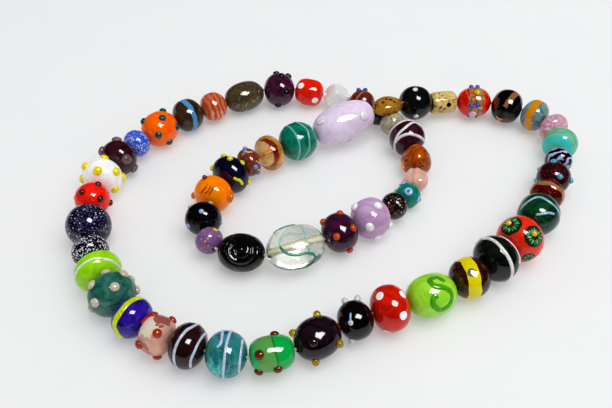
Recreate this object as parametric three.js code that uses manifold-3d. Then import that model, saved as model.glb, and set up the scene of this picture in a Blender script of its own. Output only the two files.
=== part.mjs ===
// Beaded necklace: an endless strand of handmade lampwork glass beads on a pale
// thread, with no clasp, laid down in a double loop that crosses over itself once.
// Millimetres, +Z up, standing on Z = 0, with the origin under the middle of its box.
import * as THREE from "three";
import { mergeVertices } from "three/addons/utils/BufferGeometryUtils.js";
import Module from "manifold-3d";

const wasm = await Module();
wasm.setup();

// Driving dimensions of the stringing
const THREAD_DIAMETER = 1.0;
const BORE_DIAMETER = 2.2;
const BEAD_GAP = 0.3; // between two beads where the strand runs straight
const THREAD_END_GAP = 0.3; // where the two lengths of thread meet inside a bead
const CROSSING_NEST = 1.6; // how far the crossing bead sinks between the two below it
const CROSSING_FALL = 0.6; // how much lower the far end of the crossing bead lies

// Driving dimensions of the raised glass dots: how wide, and how far they stand out
const FINE_DOT = 2.2;
const SMALL_DOT = 2.8;
const LARGE_DOT = 3.8;
const MELTED_RISE = 0.5;
const PROUD_RISE = 1.0;
const TALL_RISE = 1.6;
const DOT_ROOT = 0.8; // how deep a dot's foot is sunk into its bead

// How full a bead's outline is: 2 is an ellipse, and more is squarer at the shoulders
const LENS = 1.8;
const ROUND = 2.2;
const FULL = 2.4;
const BARREL = 2.8;
const TUBE = 5;

// Facets
const MAIN_SIDES = 12;
const SMALL_SIDES = 10;
const THREAD_SIDES = 8;
const DOT_SIDES = 5;
const OUTLINE_STEPS = 6; // an even number, so that one ring is the widest
const ROUTE_STEPS = 60; // steps of the route's curve between two of its points

// The glasses that the beads are mainly made of
const GLASS = {
  lilac: 0xc9a9d6, black: 0x0c0d0e, red: 0xb3160c, teal: 0x3f6f73, turquoise: 0x2fb0a4,
  maroon: 0x3a0c10, green: 0x0f3b2a, coral: 0xd8371c, brown: 0x33190b, lime: 0x86d40f,
  rose: 0xe6a59c, violet: 0x22089a, white: 0xeeece4, plum: 0x3d1328, orange: 0xf2700c,
  smoke: 0x3e362f, amber: 0xc4700f, clear: 0xb9c2ba, navy: 0x0c1232, topaz: 0xc8912c,
  mauve: 0xa57daa, thread: 0xe9e1cc,
};

// Every bead in its order on the string, from the lilac oval clockwise round both loops.
// length is along the string, across is its width as it lies, thick is its height as it
// lies. A small bead is one body with the thread that it sits on.
const BEADS = [
  { name: "lilac_oval", length: 25, across: 15, thick: 14.5, form: FULL, glass: "lilac" },
  { name: "mottled_lentil", length: 13, across: 9.5, thick: 7, form: LENS, small: true },
  { name: "black_white_dots", length: 12.5, across: 13.5, thick: 13.5, form: ROUND, glass: "black" },
  { name: "ivory_tube", length: 11, across: 9, thick: 9, form: TUBE, small: true },
  { name: "red_gilded", length: 13.5, across: 12, thick: 12, form: ROUND, glass: "red" },
  { name: "black_copper_band", length: 12, across: 13.5, thick: 13.5, form: ROUND, glass: "black" },
  { name: "teal_orange_band", length: 10, across: 12.5, thick: 12.5, form: ROUND, glass: "teal" },
  { name: "pink_swirl", length: 7.5, across: 11.5, thick: 11.5, form: ROUND, small: true },
  { name: "turquoise_layers", length: 11, across: 13, thick: 13, form: ROUND, glass: "turquoise" },
  { name: "zebra_small", length: 7.5, across: 10, thick: 10, form: ROUND, small: true },
  {
    name: "maroon_turquoise_dots", length: 12, across: 12, thick: 12, form: ROUND, glass: "maroon",
  },
  { name: "garnet_disc", length: 8, across: 12, thick: 12, form: ROUND, small: true },
  { name: "bottle_green_trails", length: 15, across: 14, thick: 14, form: ROUND, glass: "green" },
  { name: "coral_petals", length: 13.5, across: 15.5, thick: 15.5, form: ROUND, glass: "coral" },
  { name: "black_white_trails", length: 11.5, across: 15.5, thick: 15.5, form: ROUND, glass: "black" },
  { name: "brown_yellow_band", length: 12, across: 13.5, thick: 13.5, form: ROUND, glass: "brown" },
  { name: "lime_swirl_oval", length: 16, across: 13.5, thick: 13.5, form: ROUND, glass: "lime" },
  { name: "red_white_dots", length: 11.5, across: 14.5, thick: 14.5, form: ROUND, glass: "red" },
  { name: "black_white_comma", length: 10.5, across: 12, thick: 12, form: ROUND, glass: "black" },
  { name: "black_amber_dots", length: 14.5, across: 12.5, thick: 12.5, form: ROUND, glass: "black" },
  { name: "green_amber_dots", length: 13, across: 10.5, thick: 10.5, form: BARREL, glass: "green" },
  { name: "teal_foil_trails", length: 12, across: 13.5, thick: 13.5, form: ROUND, glass: "teal" },
  { name: "brown_white_trails", length: 10.5, across: 13.5, thick: 13.5, form: ROUND, glass: "brown" },
  { name: "rose_orange_dots", length: 9, across: 12, thick: 12, form: BARREL, glass: "rose" },
  { name: "violet_yellow_band", length: 10, across: 13, thick: 13, form: ROUND, glass: "violet" },
  { name: "sea_green_cream_dots", length: 12, across: 15, thick: 15, form: ROUND, glass: "green" },
  { name: "lime_white_ring", length: 9, across: 15, thick: 15, form: FULL, glass: "lime" },
  { name: "black_speckled", length: 9, across: 12, thick: 12, form: ROUND, small: true },
  { name: "midnight_glitter", length: 14, across: 15, thick: 15, form: ROUND, glass: "navy" },
  { name: "red_brown_dots", length: 11, across: 12, thick: 12, form: ROUND, glass: "red" },
  { name: "white_yellow_dots", length: 11.5, across: 14.5, thick: 14.5, form: ROUND, glass: "white" },
  { name: "plum_mauve_dots", length: 10.5, across: 13.5, thick: 13.5, form: ROUND, glass: "plum" },
  { name: "blue_speckled", length: 8.5, across: 10.5, thick: 10.5, form: ROUND, small: true },
  { name: "orange_teal_dots", length: 14, across: 13.5, thick: 13.5, form: ROUND, glass: "orange" },
  { name: "smoke_blue_band", length: 11.5, across: 13, thick: 13, form: ROUND, small: true },
  { name: "copper_foil", length: 10.5, across: 11.5, thick: 11.5, form: ROUND, small: true },
  { name: "smoke_oval", length: 16.5, across: 12, thick: 12, form: ROUND, glass: "smoke" },
  { name: "purple_black_dots", length: 12.5, across: 13.5, thick: 13.5, form: ROUND, glass: "plum" },
  { name: "red_white_spots", length: 11.5, across: 11, thick: 11, form: BARREL, small: true },
  { name: "frosted_nugget", length: 11, across: 10, thick: 10, form: FULL, small: true },
  { name: "amber_red_blue_dots", length: 10, across: 10.5, thick: 10.5, form: ROUND, small: true },
  { name: "black_round", length: 8, across: 9.5, thick: 9.5, form: ROUND, small: true },
  { name: "mottled_clear", length: 9, across: 9.5, thick: 9.5, form: ROUND, small: true },
  { name: "plum_white_trails", length: 12.5, across: 13.5, thick: 13.5, form: ROUND, glass: "plum" },
  { name: "amber_nugget", length: 11, across: 12, thick: 11.5, form: FULL, glass: "amber" },
  { name: "pale_pink_ribbed", length: 8, across: 9, thick: 9, form: BARREL, small: true },
  { name: "emerald_eyes", length: 7.5, across: 9, thick: 9, form: BARREL, small: true },
  { name: "dark_confetti", length: 8.5, across: 9.5, thick: 9.5, form: ROUND, small: true },
  { name: "mauve_white_dots", length: 13, across: 14, thick: 14, form: ROUND, glass: "mauve" },
  { name: "plum_orange_dots", length: 11.5, across: 13.5, thick: 13.5, form: ROUND, glass: "plum" },
  { name: "clear_green_trails", length: 19.5, across: 15.5, thick: 13.5, form: ROUND, glass: "clear" },
  { name: "black_shell", length: 15.5, across: 13, thick: 12, form: ROUND, glass: "black" },
  { name: "mauve_confetti", length: 8, across: 9.5, thick: 9.5, form: ROUND, small: true },
  { name: "black_blue_dots", length: 10.5, across: 12.5, thick: 12.5, form: ROUND, glass: "black" },
  { name: "orange_ridged", length: 12, across: 14, thick: 14, form: ROUND, glass: "orange" },
  { name: "navy_yellow_dots", length: 10, across: 14.5, thick: 14.5, form: ROUND, glass: "navy" },
  { name: "maroon_gold_small", length: 7.5, across: 10.5, thick: 10.5, form: ROUND, small: true },
  { name: "topaz_red_band", length: 10, across: 13.5, thick: 13.5, form: ROUND, glass: "topaz" },
  { name: "emerald_pale_trails", length: 14, across: 14.5, thick: 14.5, form: ROUND, glass: "green" },
];

// The raised dots of each bead. A place is a share of the bead's half length, then
// degrees round it, from its top towards the outside of the loop.
const DOTS = {
  lilac_oval: {
    wide: LARGE_DOT, rise: MELTED_RISE,
    places: [[-0.72, 0], [0.54, -50], [0, -125], [-0.1, 60]],
  },
  black_white_dots: {
    wide: SMALL_DOT, rise: MELTED_RISE, places: [[-0.48, -3], [-0.3, -110], [0.3, 90]],
  },
  red_gilded: {
    wide: FINE_DOT, rise: PROUD_RISE,
    places: [[0.1, -15], [-0.25, -66], [0.2, -66], [-0.25, 35], [0.18, 36], [-0.05, -107]],
  },
  maroon_turquoise_dots: {
    wide: SMALL_DOT, rise: PROUD_RISE,
    places: [[-0.4, -18], [0.62, 23], [0.55, -98], [-0.05, 82], [-0.5, -95]],
  },
  coral_petals: {
    wide: LARGE_DOT, rise: MELTED_RISE,
    places: [[0.42, -27], [0.14, 40], [0.6, 96], [-0.45, -85]],
  },
  black_white_comma: {
    wide: FINE_DOT, rise: TALL_RISE, places: [[-0.5, -50], [0.15, -60], [0.6, 120], [-0.2, 110]],
  },
  black_amber_dots: {
    wide: SMALL_DOT, rise: PROUD_RISE,
    places: [[-0.35, -45], [0.75, -75], [-0.55, 82], [0.5, 120], [0.48, 35]],
  },
  green_amber_dots: {
    wide: SMALL_DOT, rise: PROUD_RISE,
    places: [[-0.24, -55], [0.62, 30], [0.7, 115], [-0.12, 94], [0.3, -115]],
  },
  rose_orange_dots: {
    wide: SMALL_DOT, rise: PROUD_RISE,
    places: [[-0.55, 22], [0.55, 80], [-0.5, 130], [-0.45, -72], [0.6, -35], [0.1, -120]],
  },
  sea_green_cream_dots: {
    wide: SMALL_DOT, rise: PROUD_RISE,
    places: [
      [0.68, -10], [0.1, -45], [0.3, -90], [0.4, 38], [-0.55, -5], [-0.42, -97], [-0.42, 62],
      [0.15, 110],
    ],
  },
  red_brown_dots: {
    wide: LARGE_DOT, rise: PROUD_RISE,
    places: [[0.36, -28], [-0.35, 24], [-0.55, -55], [0, -108], [0.3, 95]],
  },
  white_yellow_dots: {
    wide: FINE_DOT, rise: TALL_RISE,
    places: [
      [0.62, -3], [-0.2, 45], [-0.58, -10], [-0.03, -58], [-0.5, 90], [0.4, -98], [-0.55, -110],
      [0.4, 90],
    ],
  },
  plum_mauve_dots: {
    wide: LARGE_DOT, rise: TALL_RISE,
    places: [[0.5, 20], [-0.4, -63], [-0.42, 68], [0.3, 115], [0.1, -120]],
  },
  orange_teal_dots: {
    wide: SMALL_DOT, rise: PROUD_RISE,
    places: [[0.58, 22], [0.06, -21], [0.62, -76], [-0.62, -67], [-0.62, 43], [-0.1, -115]],
  },
  purple_black_dots: {
    wide: SMALL_DOT, rise: PROUD_RISE,
    places: [[-0.2, 45], [0.62, 46], [0.15, 2], [0.5, -67], [-0.1, -125], [0, 110]],
  },
  mauve_white_dots: {
    wide: SMALL_DOT, rise: PROUD_RISE,
    places: [[0.62, -44], [-0.14, 16], [0.65, 64], [-0.6, 100], [0.2, 122], [0, -90]],
  },
  plum_orange_dots: {
    wide: SMALL_DOT, rise: PROUD_RISE,
    places: [[-0.29, -25], [0.62, -64], [-0.46, 41], [0.62, 46], [-0.07, 118], [0, -115]],
  },
  black_blue_dots: {
    wide: FINE_DOT, rise: TALL_RISE,
    places: [[-0.35, 0], [-0.6, 82], [0.5, 50], [0.55, -35], [-0.1, 125], [-0.3, -95]],
  },
  orange_ridged: {
    wide: LARGE_DOT, rise: PROUD_RISE, places: [[0.12, -80], [0.1, 24], [-0.4, 100]],
  },
  navy_yellow_dots: {
    wide: FINE_DOT, rise: TALL_RISE,
    places: [[0.1, 0], [0.37, 38], [0.6, -33], [-0.5, 75], [0.4, -105], [-0.4, -60]],
  },
};

// The bead that lies on the strand where the loops cross, and the two beads under it
const CROSSING_BEAD = "mottled_lentil";
const CROSSED_BEADS = ["black_round", "mottled_clear"];

// The two beads in whose bores the two lengths of thread meet
const OUTER_START = "lilac_oval";
const INNER_START = "plum_white_trails";

// The route of the string seen from above: points chosen by hand, in whole millimetres,
// that the closed curve passes, from the left end of the lilac oval, clockwise round both
// loops. Only its shape counts, because the loop's size follows the beads' lengths.
const ROUTE = [
  [3, 30], [26, 40], [38, 46], [61, 53], [87, 46], [97, 33], [92, 14], [82, -6],
  [74, -20], [64, -29], [46, -43], [20, -53], [10, -57], [-3, -65], [-16, -68],
  [-28, -66], [-48, -58], [-62, -42], [-67, -34], [-71, -25], [-74, 1], [-67, 21],
  [-51, 40], [-32, 52], [-17, 60], [-4, 60], [7, 58], [18, 57], [32, 42], [41, 21],
  [38, 3], [27, -10], [6, -23], [-13, -30], [-29, -27], [-34, -20], [-35, -8],
  [-25, 11], [-10, 22],
];

const COUNT = BEADS.length;
const wrap = (i) => (i + COUNT) % COUNT;
const find = (name) => BEADS.findIndex((bead) => bead.name === name);
const thickOf = (name) => BEADS[find(name)].thick;

// How high the string is before each bead: beads lie on the table, apart from the two
// ends of the bead that crosses over the strand.
function pivotHeights() {
  const heights = BEADS.map((bead, i) => Math.max(BEADS[wrap(i - 1)].thick, bead.thick) / 2);
  const below = Math.max(...CROSSED_BEADS.map(thickOf));
  const over = below + thickOf(CROSSING_BEAD) / 2 - CROSSING_NEST;
  const crossing = find(CROSSING_BEAD);
  heights[crossing] = over;
  heights[wrap(crossing + 1)] = over - CROSSING_FALL;
  return heights;
}

// Walks along a closed line in straight chords of the given lengths. It gives each place
// reached, and how often round the line the walk came.
function walk(line, chords) {
  const places = [line[0]];
  let here = line[0];
  let side = 0;
  let rounds = 0;
  for (const chord of chords) {
    while (here.distanceTo(line[(side + 1) % line.length]) < chord) side += 1;
    const start = line[side % line.length];
    const run = line[(side + 1) % line.length].clone().sub(start);
    const back = start.clone().sub(here);
    const a = run.lengthSq();
    const b = 2 * back.dot(run);
    const c = back.lengthSq() - chord ** 2;
    const share = (Math.sqrt(Math.max(b ** 2 - 4 * a * c, 0)) - b) / (2 * a);
    here = start.clone().addScaledVector(run, share);
    rounds = (side + share) / line.length;
    places.push(here);
  }
  return { places, rounds };
}

// The places where the string turns from bead to bead, on the route drawn as large as the
// beads need for the last one to end where the first begins.
function closedWalk(chords) {
  const corners = ROUTE.map(([x, y]) => new THREE.Vector3(x, y, 0));
  const curve = new THREE.CatmullRomCurve3(corners, true, "catmullrom", 0.5);
  const points = curve.getPoints(ROUTE.length * ROUTE_STEPS).slice(0, -1);
  let small = 0.5;
  let large = 2;
  let places = [];
  for (let trial = 0; trial < 30; trial++) {
    const scale = (small + large) / 2;
    const line = points.map((point) => new THREE.Vector2(point.x, point.y).multiplyScalar(scale));
    const walked = walk(line, chords);
    places = walked.places;
    if (walked.rounds > 1) small = scale;
    else large = scale;
  }
  return places.slice(0, COUNT);
}

// How far a bead's shoulder reaches past the end of its bore, seen along the plane that
// halves a bend of the string there
function shoulder(bead, bend) {
  const half = bead.length / 2;
  const radius = Math.max(bead.across, bead.thick) / 2;
  const power = bead.form / (bead.form - 1);
  return (half ** power + (radius * Math.tan(bend / 2)) ** power) ** (1 / power) - half;
}

// Strings the beads: the pivots of the string, and each bead's axis and centre. Where the
// strand bends, each bead keeps its distance from the bend so that their shoulders clear.
function stringBeads() {
  const heights = pivotHeights();
  let before = BEADS.map(() => BEAD_GAP / 2);
  let after = BEADS.map(() => BEAD_GAP / 2);
  let pivots = [];
  let axes = [];
  for (let pass = 0; pass < 3; pass++) {
    const chords = BEADS.map((bead, i) => {
      const reach = before[i] + bead.length + after[i];
      return Math.sqrt(reach ** 2 - (heights[wrap(i + 1)] - heights[i]) ** 2);
    });
    pivots = closedWalk(chords).map((place, i) => new THREE.Vector3(place.x, place.y, heights[i]));
    axes = pivots.map((pivot, i) => pivots[wrap(i + 1)].clone().sub(pivot).normalize());
    const bends = axes.map((axis, i) => axis.angleTo(axes[wrap(i - 1)]));
    before = BEADS.map((bead, i) => BEAD_GAP / 2 + shoulder(bead, bends[i]));
    after = BEADS.map((bead, i) => BEAD_GAP / 2 + shoulder(bead, bends[wrap(i + 1)]));
  }
  const centres = pivots.map((pivot, i) =>
    pivot.clone().addScaledVector(axes[i], before[i] + BEADS[i].length / 2),
  );
  return { pivots, axes, centres };
}

// A closed solid for cutting and joining, from a geometry
function solidOf(geometry) {
  geometry.deleteAttribute("normal");
  geometry.deleteAttribute("uv");
  const merged = mergeVertices(geometry);
  const corners = merged.index.array;
  const kept = [];
  for (let i = 0; i < corners.length; i += 3) {
    const [a, b, c] = corners.slice(i, i + 3);
    if (a !== b && b !== c && c !== a) kept.push(a, b, c);
  }
  const vertProperties = merged.attributes.position.array;
  const triVerts = new Uint32Array(kept);
  return new wasm.Manifold(new wasm.Mesh({ numProp: 3, vertProperties, triVerts }));
}

// A named mesh of one glass from a closed solid
function meshOf(solid, name, glass, roughness) {
  const { vertProperties, triVerts } = solid.getMesh();
  const geometry = new THREE.BufferGeometry();
  geometry.setAttribute("position", new THREE.BufferAttribute(vertProperties, 3));
  geometry.setIndex(new THREE.BufferAttribute(triVerts, 1));
  geometry.computeVertexNormals();
  const finish = { color: GLASS[glass], roughness, metalness: 0 };
  const mesh = new THREE.Mesh(geometry, new THREE.MeshStandardMaterial(finish));
  mesh.name = name;
  return mesh;
}

// The bead's outline turned about its bore, which runs along Y. A small bead is solid,
// for its thread is one body with it. One corner of the polygon points along +Z, which
// comes to lie straight down.
function turnedBead(bead) {
  const half = bead.length / 2;
  const radius = bead.across / 2;
  const hole = bead.small ? 0 : BORE_DIAMETER / 2;
  const outline = [new THREE.Vector2(hole, -half)];
  for (let k = 1; k < OUTLINE_STEPS; k++) {
    const turn = (Math.PI * k) / OUTLINE_STEPS;
    const share = -Math.sign(Math.cos(turn)) * Math.abs(Math.cos(turn)) ** (2 / bead.form);
    outline.push(new THREE.Vector2(radius * Math.sin(turn) ** (2 / bead.form), half * share));
  }
  outline.push(new THREE.Vector2(hole, half));
  if (!bead.small) outline.push(outline[0].clone());
  return new THREE.LatheGeometry(outline, bead.small ? SMALL_SIDES : MAIN_SIDES);
}

// A raised dot: a dome square to the bead's outline, with its foot sunk into the glass
function raisedDot(bead, wide, rise, along, around) {
  const radius = bead.across / 2;
  const turn = THREE.MathUtils.degToRad(around);
  const fall = Math.abs(along) ** (bead.form - 1) * Math.sign(along);
  const reach = (1 - Math.abs(along) ** bead.form) ** (1 / bead.form);
  const outwards = reach ** (bead.form - 1) / radius;
  const endwards = fall / (bead.length / 2);
  const normal = new THREE.Vector3(outwards * Math.sin(turn), endwards, -outwards * Math.cos(turn));
  const place = new THREE.Vector3(
    radius * reach * Math.sin(turn), (along * bead.length) / 2, -radius * reach * Math.cos(turn),
  );
  const profile = [
    new THREE.Vector2(0, -DOT_ROOT), new THREE.Vector2(wide / 2, -DOT_ROOT),
    new THREE.Vector2(wide * 0.4, rise * 0.6), new THREE.Vector2(0, rise),
  ];
  const dot = new THREE.LatheGeometry(profile, DOT_SIDES);
  const up = new THREE.Vector3(0, 1, 0);
  dot.applyQuaternion(new THREE.Quaternion().setFromUnitVectors(up, normal.normalize()));
  dot.translate(place.x, place.y, place.z);
  return dot;
}

// One bead with its raised dots, in its place on the string
function beadSolid(i, seats) {
  const bead = BEADS[i];
  const dots = DOTS[bead.name] || { places: [] };
  const parts = dots.places.map(([along, around]) =>
    solidOf(raisedDot(bead, dots.wide, dots.rise, along, around)),
  );
  let solid = solidOf(turnedBead(bead));
  for (const part of parts) solid = solid.add(part);
  const axis = seats.axes[i];
  const left = new THREE.Vector3(0, 0, 1).cross(axis).normalize();
  const down = left.clone().cross(axis);
  const seat = new THREE.Matrix4().makeBasis(left, axis, down).setPosition(seats.centres[i]);
  seat.multiply(new THREE.Matrix4().makeScale(1, 1, bead.thick / bead.across));
  return solid.transform(seat.elements);
}

// The middle line of a length of thread: straight from pivot to pivot, where it turns
class ThreadLine extends THREE.Curve {
  constructor(points) {
    super();
    this.points = points;
  }

  getPointAt(share) {
    return this.points[Math.round(share * (this.points.length - 1))].clone();
  }

  getTangentAt(share) {
    const k = Math.round(share * (this.points.length - 1));
    const here = this.points[k];
    const before = this.points[Math.max(k - 1, 0)];
    const after = this.points[Math.min(k + 1, this.points.length - 1)];
    const tangent = new THREE.Vector3();
    if (k > 0) tangent.add(here.clone().sub(before).normalize());
    if (k < this.points.length - 1) tangent.add(after.clone().sub(here).normalize());
    return tangent.normalize();
  }
}

// A length of thread from inside one bead to inside another, with the small beads on it
function threadWithSmallBeads(from, to, seats) {
  const first = find(from);
  const last = find(to);
  const steps = wrap(last - first);
  const endGap = THREAD_END_GAP / 2;
  const points = [seats.centres[first].clone().addScaledVector(seats.axes[first], endGap)];
  for (let k = 1; k <= steps; k++) points.push(seats.pivots[wrap(first + k)]);
  points.push(seats.centres[last].clone().addScaledVector(seats.axes[last], -endGap));
  const section = [];
  for (let k = 0; k < THREAD_SIDES; k++) {
    const turn = (2 * Math.PI * (k + 0.5)) / THREAD_SIDES;
    section.push(new THREE.Vector2(Math.cos(turn), Math.sin(turn)).multiplyScalar(THREAD_DIAMETER / 2));
  }
  const options = { steps: points.length - 1, extrudePath: new ThreadLine(points) };
  let solid = solidOf(new THREE.ExtrudeGeometry(new THREE.Shape(section), options));
  for (let k = 1; k < steps; k++) {
    const i = wrap(first + k);
    if (BEADS[i].small) solid = solid.add(beadSolid(i, seats));
  }
  return solid;
}

const seats = stringBeads();
const necklace = new THREE.Group();
necklace.name = "beaded_necklace";
BEADS.forEach((bead, i) => {
  if (!bead.small) necklace.add(meshOf(beadSolid(i, seats), bead.name, bead.glass, 0.12));
});
const outer = threadWithSmallBeads(OUTER_START, INNER_START, seats);
const inner = threadWithSmallBeads(INNER_START, OUTER_START, seats);
necklace.add(meshOf(outer, "string_outer", "thread", 0.6));
necklace.add(meshOf(inner, "string_inner", "thread", 0.6));

// The origin goes under the middle of the necklace's box
const box = new THREE.Box3().setFromObject(necklace);
const middle = box.getCenter(new THREE.Vector3());
for (const mesh of necklace.children) mesh.geometry.translate(-middle.x, -middle.y, -box.min.z);

export default necklace;
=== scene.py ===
import math

import bmesh
import bpy
from mathutils import Matrix, Vector, noise


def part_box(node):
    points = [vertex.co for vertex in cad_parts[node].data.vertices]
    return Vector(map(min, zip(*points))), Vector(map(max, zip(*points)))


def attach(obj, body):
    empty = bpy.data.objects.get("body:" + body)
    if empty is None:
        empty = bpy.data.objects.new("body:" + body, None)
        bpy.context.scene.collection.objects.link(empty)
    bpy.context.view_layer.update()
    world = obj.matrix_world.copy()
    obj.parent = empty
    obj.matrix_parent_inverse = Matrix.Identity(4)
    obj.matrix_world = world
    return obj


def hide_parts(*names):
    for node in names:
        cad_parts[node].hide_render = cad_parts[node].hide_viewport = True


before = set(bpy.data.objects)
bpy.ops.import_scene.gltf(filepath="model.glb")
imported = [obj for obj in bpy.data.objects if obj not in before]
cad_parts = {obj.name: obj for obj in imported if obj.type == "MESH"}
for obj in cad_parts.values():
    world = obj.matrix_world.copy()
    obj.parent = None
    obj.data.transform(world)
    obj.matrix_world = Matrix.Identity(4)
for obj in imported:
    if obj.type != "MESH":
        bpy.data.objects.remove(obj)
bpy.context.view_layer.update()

# The thread: one waxed cream thread with no end, through the bores of 59 handmade lampwork
# glass beads. It shows only as short bits between them, so its way follows from their sizes
# and from the double loop that they are laid in. Sizes are in mm.
MM = 0.001
THREAD_WIDE = 1.0
THREAD_LEAD = 1.2  # how far from a turn between two beads it runs straight again
THREAD_EASE = 0.3  # how much of the corner it cuts there
BEAD_GAP = 0.3
CROSSING_NEST = 1.6  # how far the lentil sinks between the two beads that it lies on
CROSSING_FALL = 0.6  # how far the thread has come down after the lentil

# Each bead in its order on the thread: its length along it, its width and its height as it
# lies, and how full its outline is, where 2 is an ellipse.
STRAND = {
    "lilac_oval": (25, 15, 14.5, 2.4), "mottled_lentil": (13, 9.5, 7, 1.8),
    "black_white_dots": (12.5, 13.5, 13.5, 2.2), "ivory_tube": (11, 9, 9, 5),
    "red_gilded": (13.5, 12, 12, 2.2), "black_copper_band": (12, 13.5, 13.5, 2.2),
    "teal_orange_band": (10, 12.5, 12.5, 2.2), "pink_swirl": (7.5, 11.5, 11.5, 2.2),
    "turquoise_layers": (11, 13, 13, 2.2), "zebra_small": (7.5, 10, 10, 2.2),
    "maroon_turquoise_dots": (12, 12, 12, 2.2), "garnet_disc": (8, 12, 12, 2.2),
    "bottle_green_trails": (15, 14, 14, 2.2), "coral_petals": (13.5, 15.5, 15.5, 2.2),
    "black_white_trails": (11.5, 15.5, 15.5, 2.2), "brown_yellow_band": (12, 13.5, 13.5, 2.2),
    "lime_swirl_oval": (16, 13.5, 13.5, 2.2), "red_white_dots": (11.5, 14.5, 14.5, 2.2),
    "black_white_comma": (10.5, 12, 12, 2.2), "black_amber_dots": (14.5, 12.5, 12.5, 2.2),
    "green_amber_dots": (13, 10.5, 10.5, 2.8), "teal_foil_trails": (12, 13.5, 13.5, 2.2),
    "brown_white_trails": (10.5, 13.5, 13.5, 2.2), "rose_orange_dots": (9, 12, 12, 2.8),
    "violet_yellow_band": (10, 13, 13, 2.2), "sea_green_cream_dots": (12, 15, 15, 2.2),
    "lime_white_ring": (9, 15, 15, 2.4), "black_speckled": (9, 12, 12, 2.2),
    "midnight_glitter": (14, 15, 15, 2.2), "red_brown_dots": (11, 12, 12, 2.2),
    "white_yellow_dots": (11.5, 14.5, 14.5, 2.2), "plum_mauve_dots": (10.5, 13.5, 13.5, 2.2),
    "blue_speckled": (8.5, 10.5, 10.5, 2.2), "orange_teal_dots": (14, 13.5, 13.5, 2.2),
    "smoke_blue_band": (11.5, 13, 13, 2.2), "copper_foil": (10.5, 11.5, 11.5, 2.2),
    "smoke_oval": (16.5, 12, 12, 2.2), "purple_black_dots": (12.5, 13.5, 13.5, 2.2),
    "red_white_spots": (11.5, 11, 11, 2.8), "frosted_nugget": (11, 10, 10, 2.4),
    "amber_red_blue_dots": (10, 10.5, 10.5, 2.2), "black_round": (8, 9.5, 9.5, 2.2),
    "mottled_clear": (9, 9.5, 9.5, 2.2), "plum_white_trails": (12.5, 13.5, 13.5, 2.2),
    "amber_nugget": (11, 12, 11.5, 2.4), "pale_pink_ribbed": (8, 9, 9, 2.8),
    "emerald_eyes": (7.5, 9, 9, 2.8), "dark_confetti": (8.5, 9.5, 9.5, 2.2),
    "mauve_white_dots": (13, 14, 14, 2.2), "plum_orange_dots": (11.5, 13.5, 13.5, 2.2),
    "clear_green_trails": (19.5, 15.5, 13.5, 2.2), "black_shell": (15.5, 13, 12, 2.2),
    "mauve_confetti": (8, 9.5, 9.5, 2.2), "black_blue_dots": (10.5, 12.5, 12.5, 2.2),
    "orange_ridged": (12, 14, 14, 2.2), "navy_yellow_dots": (10, 14.5, 14.5, 2.2),
    "maroon_gold_small": (7.5, 10.5, 10.5, 2.2), "topaz_red_band": (10, 13.5, 13.5, 2.2),
    "emerald_pale_trails": (14, 14.5, 14.5, 2.2),
}
ORDER = list(STRAND)

# The way of the thread seen from above: the given points that its closed curve passes,
# clockwise from the left end of the lilac oval. Only the shape counts, because the loop's
# size follows from the beads' lengths.
ROUTE = (
    (3, 30), (26, 40), (38, 46), (61, 53), (87, 46), (97, 33), (92, 14), (82, -6),
    (74, -20), (64, -29), (46, -43), (20, -53), (10, -57), (-3, -65), (-16, -68),
    (-28, -66), (-48, -58), (-62, -42), (-67, -34), (-71, -25), (-74, 1), (-67, 21),
    (-51, 40), (-32, 52), (-17, 60), (-4, 60), (7, 58), (18, 57), (32, 42), (41, 21),
    (38, 3), (27, -10), (6, -23), (-13, -30), (-29, -27), (-34, -20), (-35, -8), (-25, 11),
    (-10, 22),
)
NEIGHBOURS = (-1, 0, 1, 2)


def curve_point(before, start, end, after, share):
    """A point on the smooth curve from start to end, which also heeds the points beyond."""
    bow = (2 * before - 5 * start + 4 * end - after) * share ** 2
    bow += (3 * start - before - 3 * end + after) * share ** 3
    return (2 * start + (end - before) * share + bow) / 2


def smooth_loop(corners, steps=60):
    """A closed smooth curve through the corners, as many points."""
    points = []
    for k in range(len(corners)):
        four = [Vector(corners[(k + j) % len(corners)]) for j in NEIGHBOURS]
        points += [curve_point(*four, step / steps) for step in range(steps)]
    return [(point.x, point.y) for point in points]


def string_heights():
    """How high the thread is before each bead: lifted at the crossing, else as beads lie."""
    thick = [STRAND[name][2] for name in ORDER]
    heights = [max(thick[i - 1], thick[i]) / 2 for i in range(len(ORDER))]
    below = max(STRAND["black_round"][2], STRAND["mottled_clear"][2])
    over = below + STRAND["mottled_lentil"][2] / 2 - CROSSING_NEST
    heights[ORDER.index("mottled_lentil")] = over
    heights[ORDER.index("mottled_lentil") + 1] = over - CROSSING_FALL
    return heights


def walk(line, chords):
    """The places reached along a closed line in straight chords, and the rounds walked."""
    places = [line[0]]
    x, y = line[0]
    side = 0
    rounds = 0
    for chord in chords:
        while math.dist((x, y), line[(side + 1) % len(line)]) < chord:
            side += 1
        start_x, start_y = line[side % len(line)]
        end_x, end_y = line[(side + 1) % len(line)]
        run_x, run_y = end_x - start_x, end_y - start_y
        back_x, back_y = start_x - x, start_y - y
        a = run_x * run_x + run_y * run_y
        b = 2 * (run_x * back_x + run_y * back_y)
        c = back_x * back_x + back_y * back_y - chord ** 2
        share = (math.sqrt(max(b * b - 4 * a * c, 0)) - b) / (2 * a)
        x, y = start_x + run_x * share, start_y + run_y * share
        rounds = (side + share) / len(line)
        places.append((x, y))
    return places[:-1], rounds


def shoulder_gap(name, bend):
    """The room that a bead's round shoulder needs at a bend of the thread."""
    length, across, thick, form = STRAND[name]
    power = form / (form - 1)
    half = length / 2
    rise = max(across, thick) / 2 * math.tan(bend / 2)
    return BEAD_GAP / 2 + (half ** power + rise ** power) ** (1 / power) - half


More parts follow.
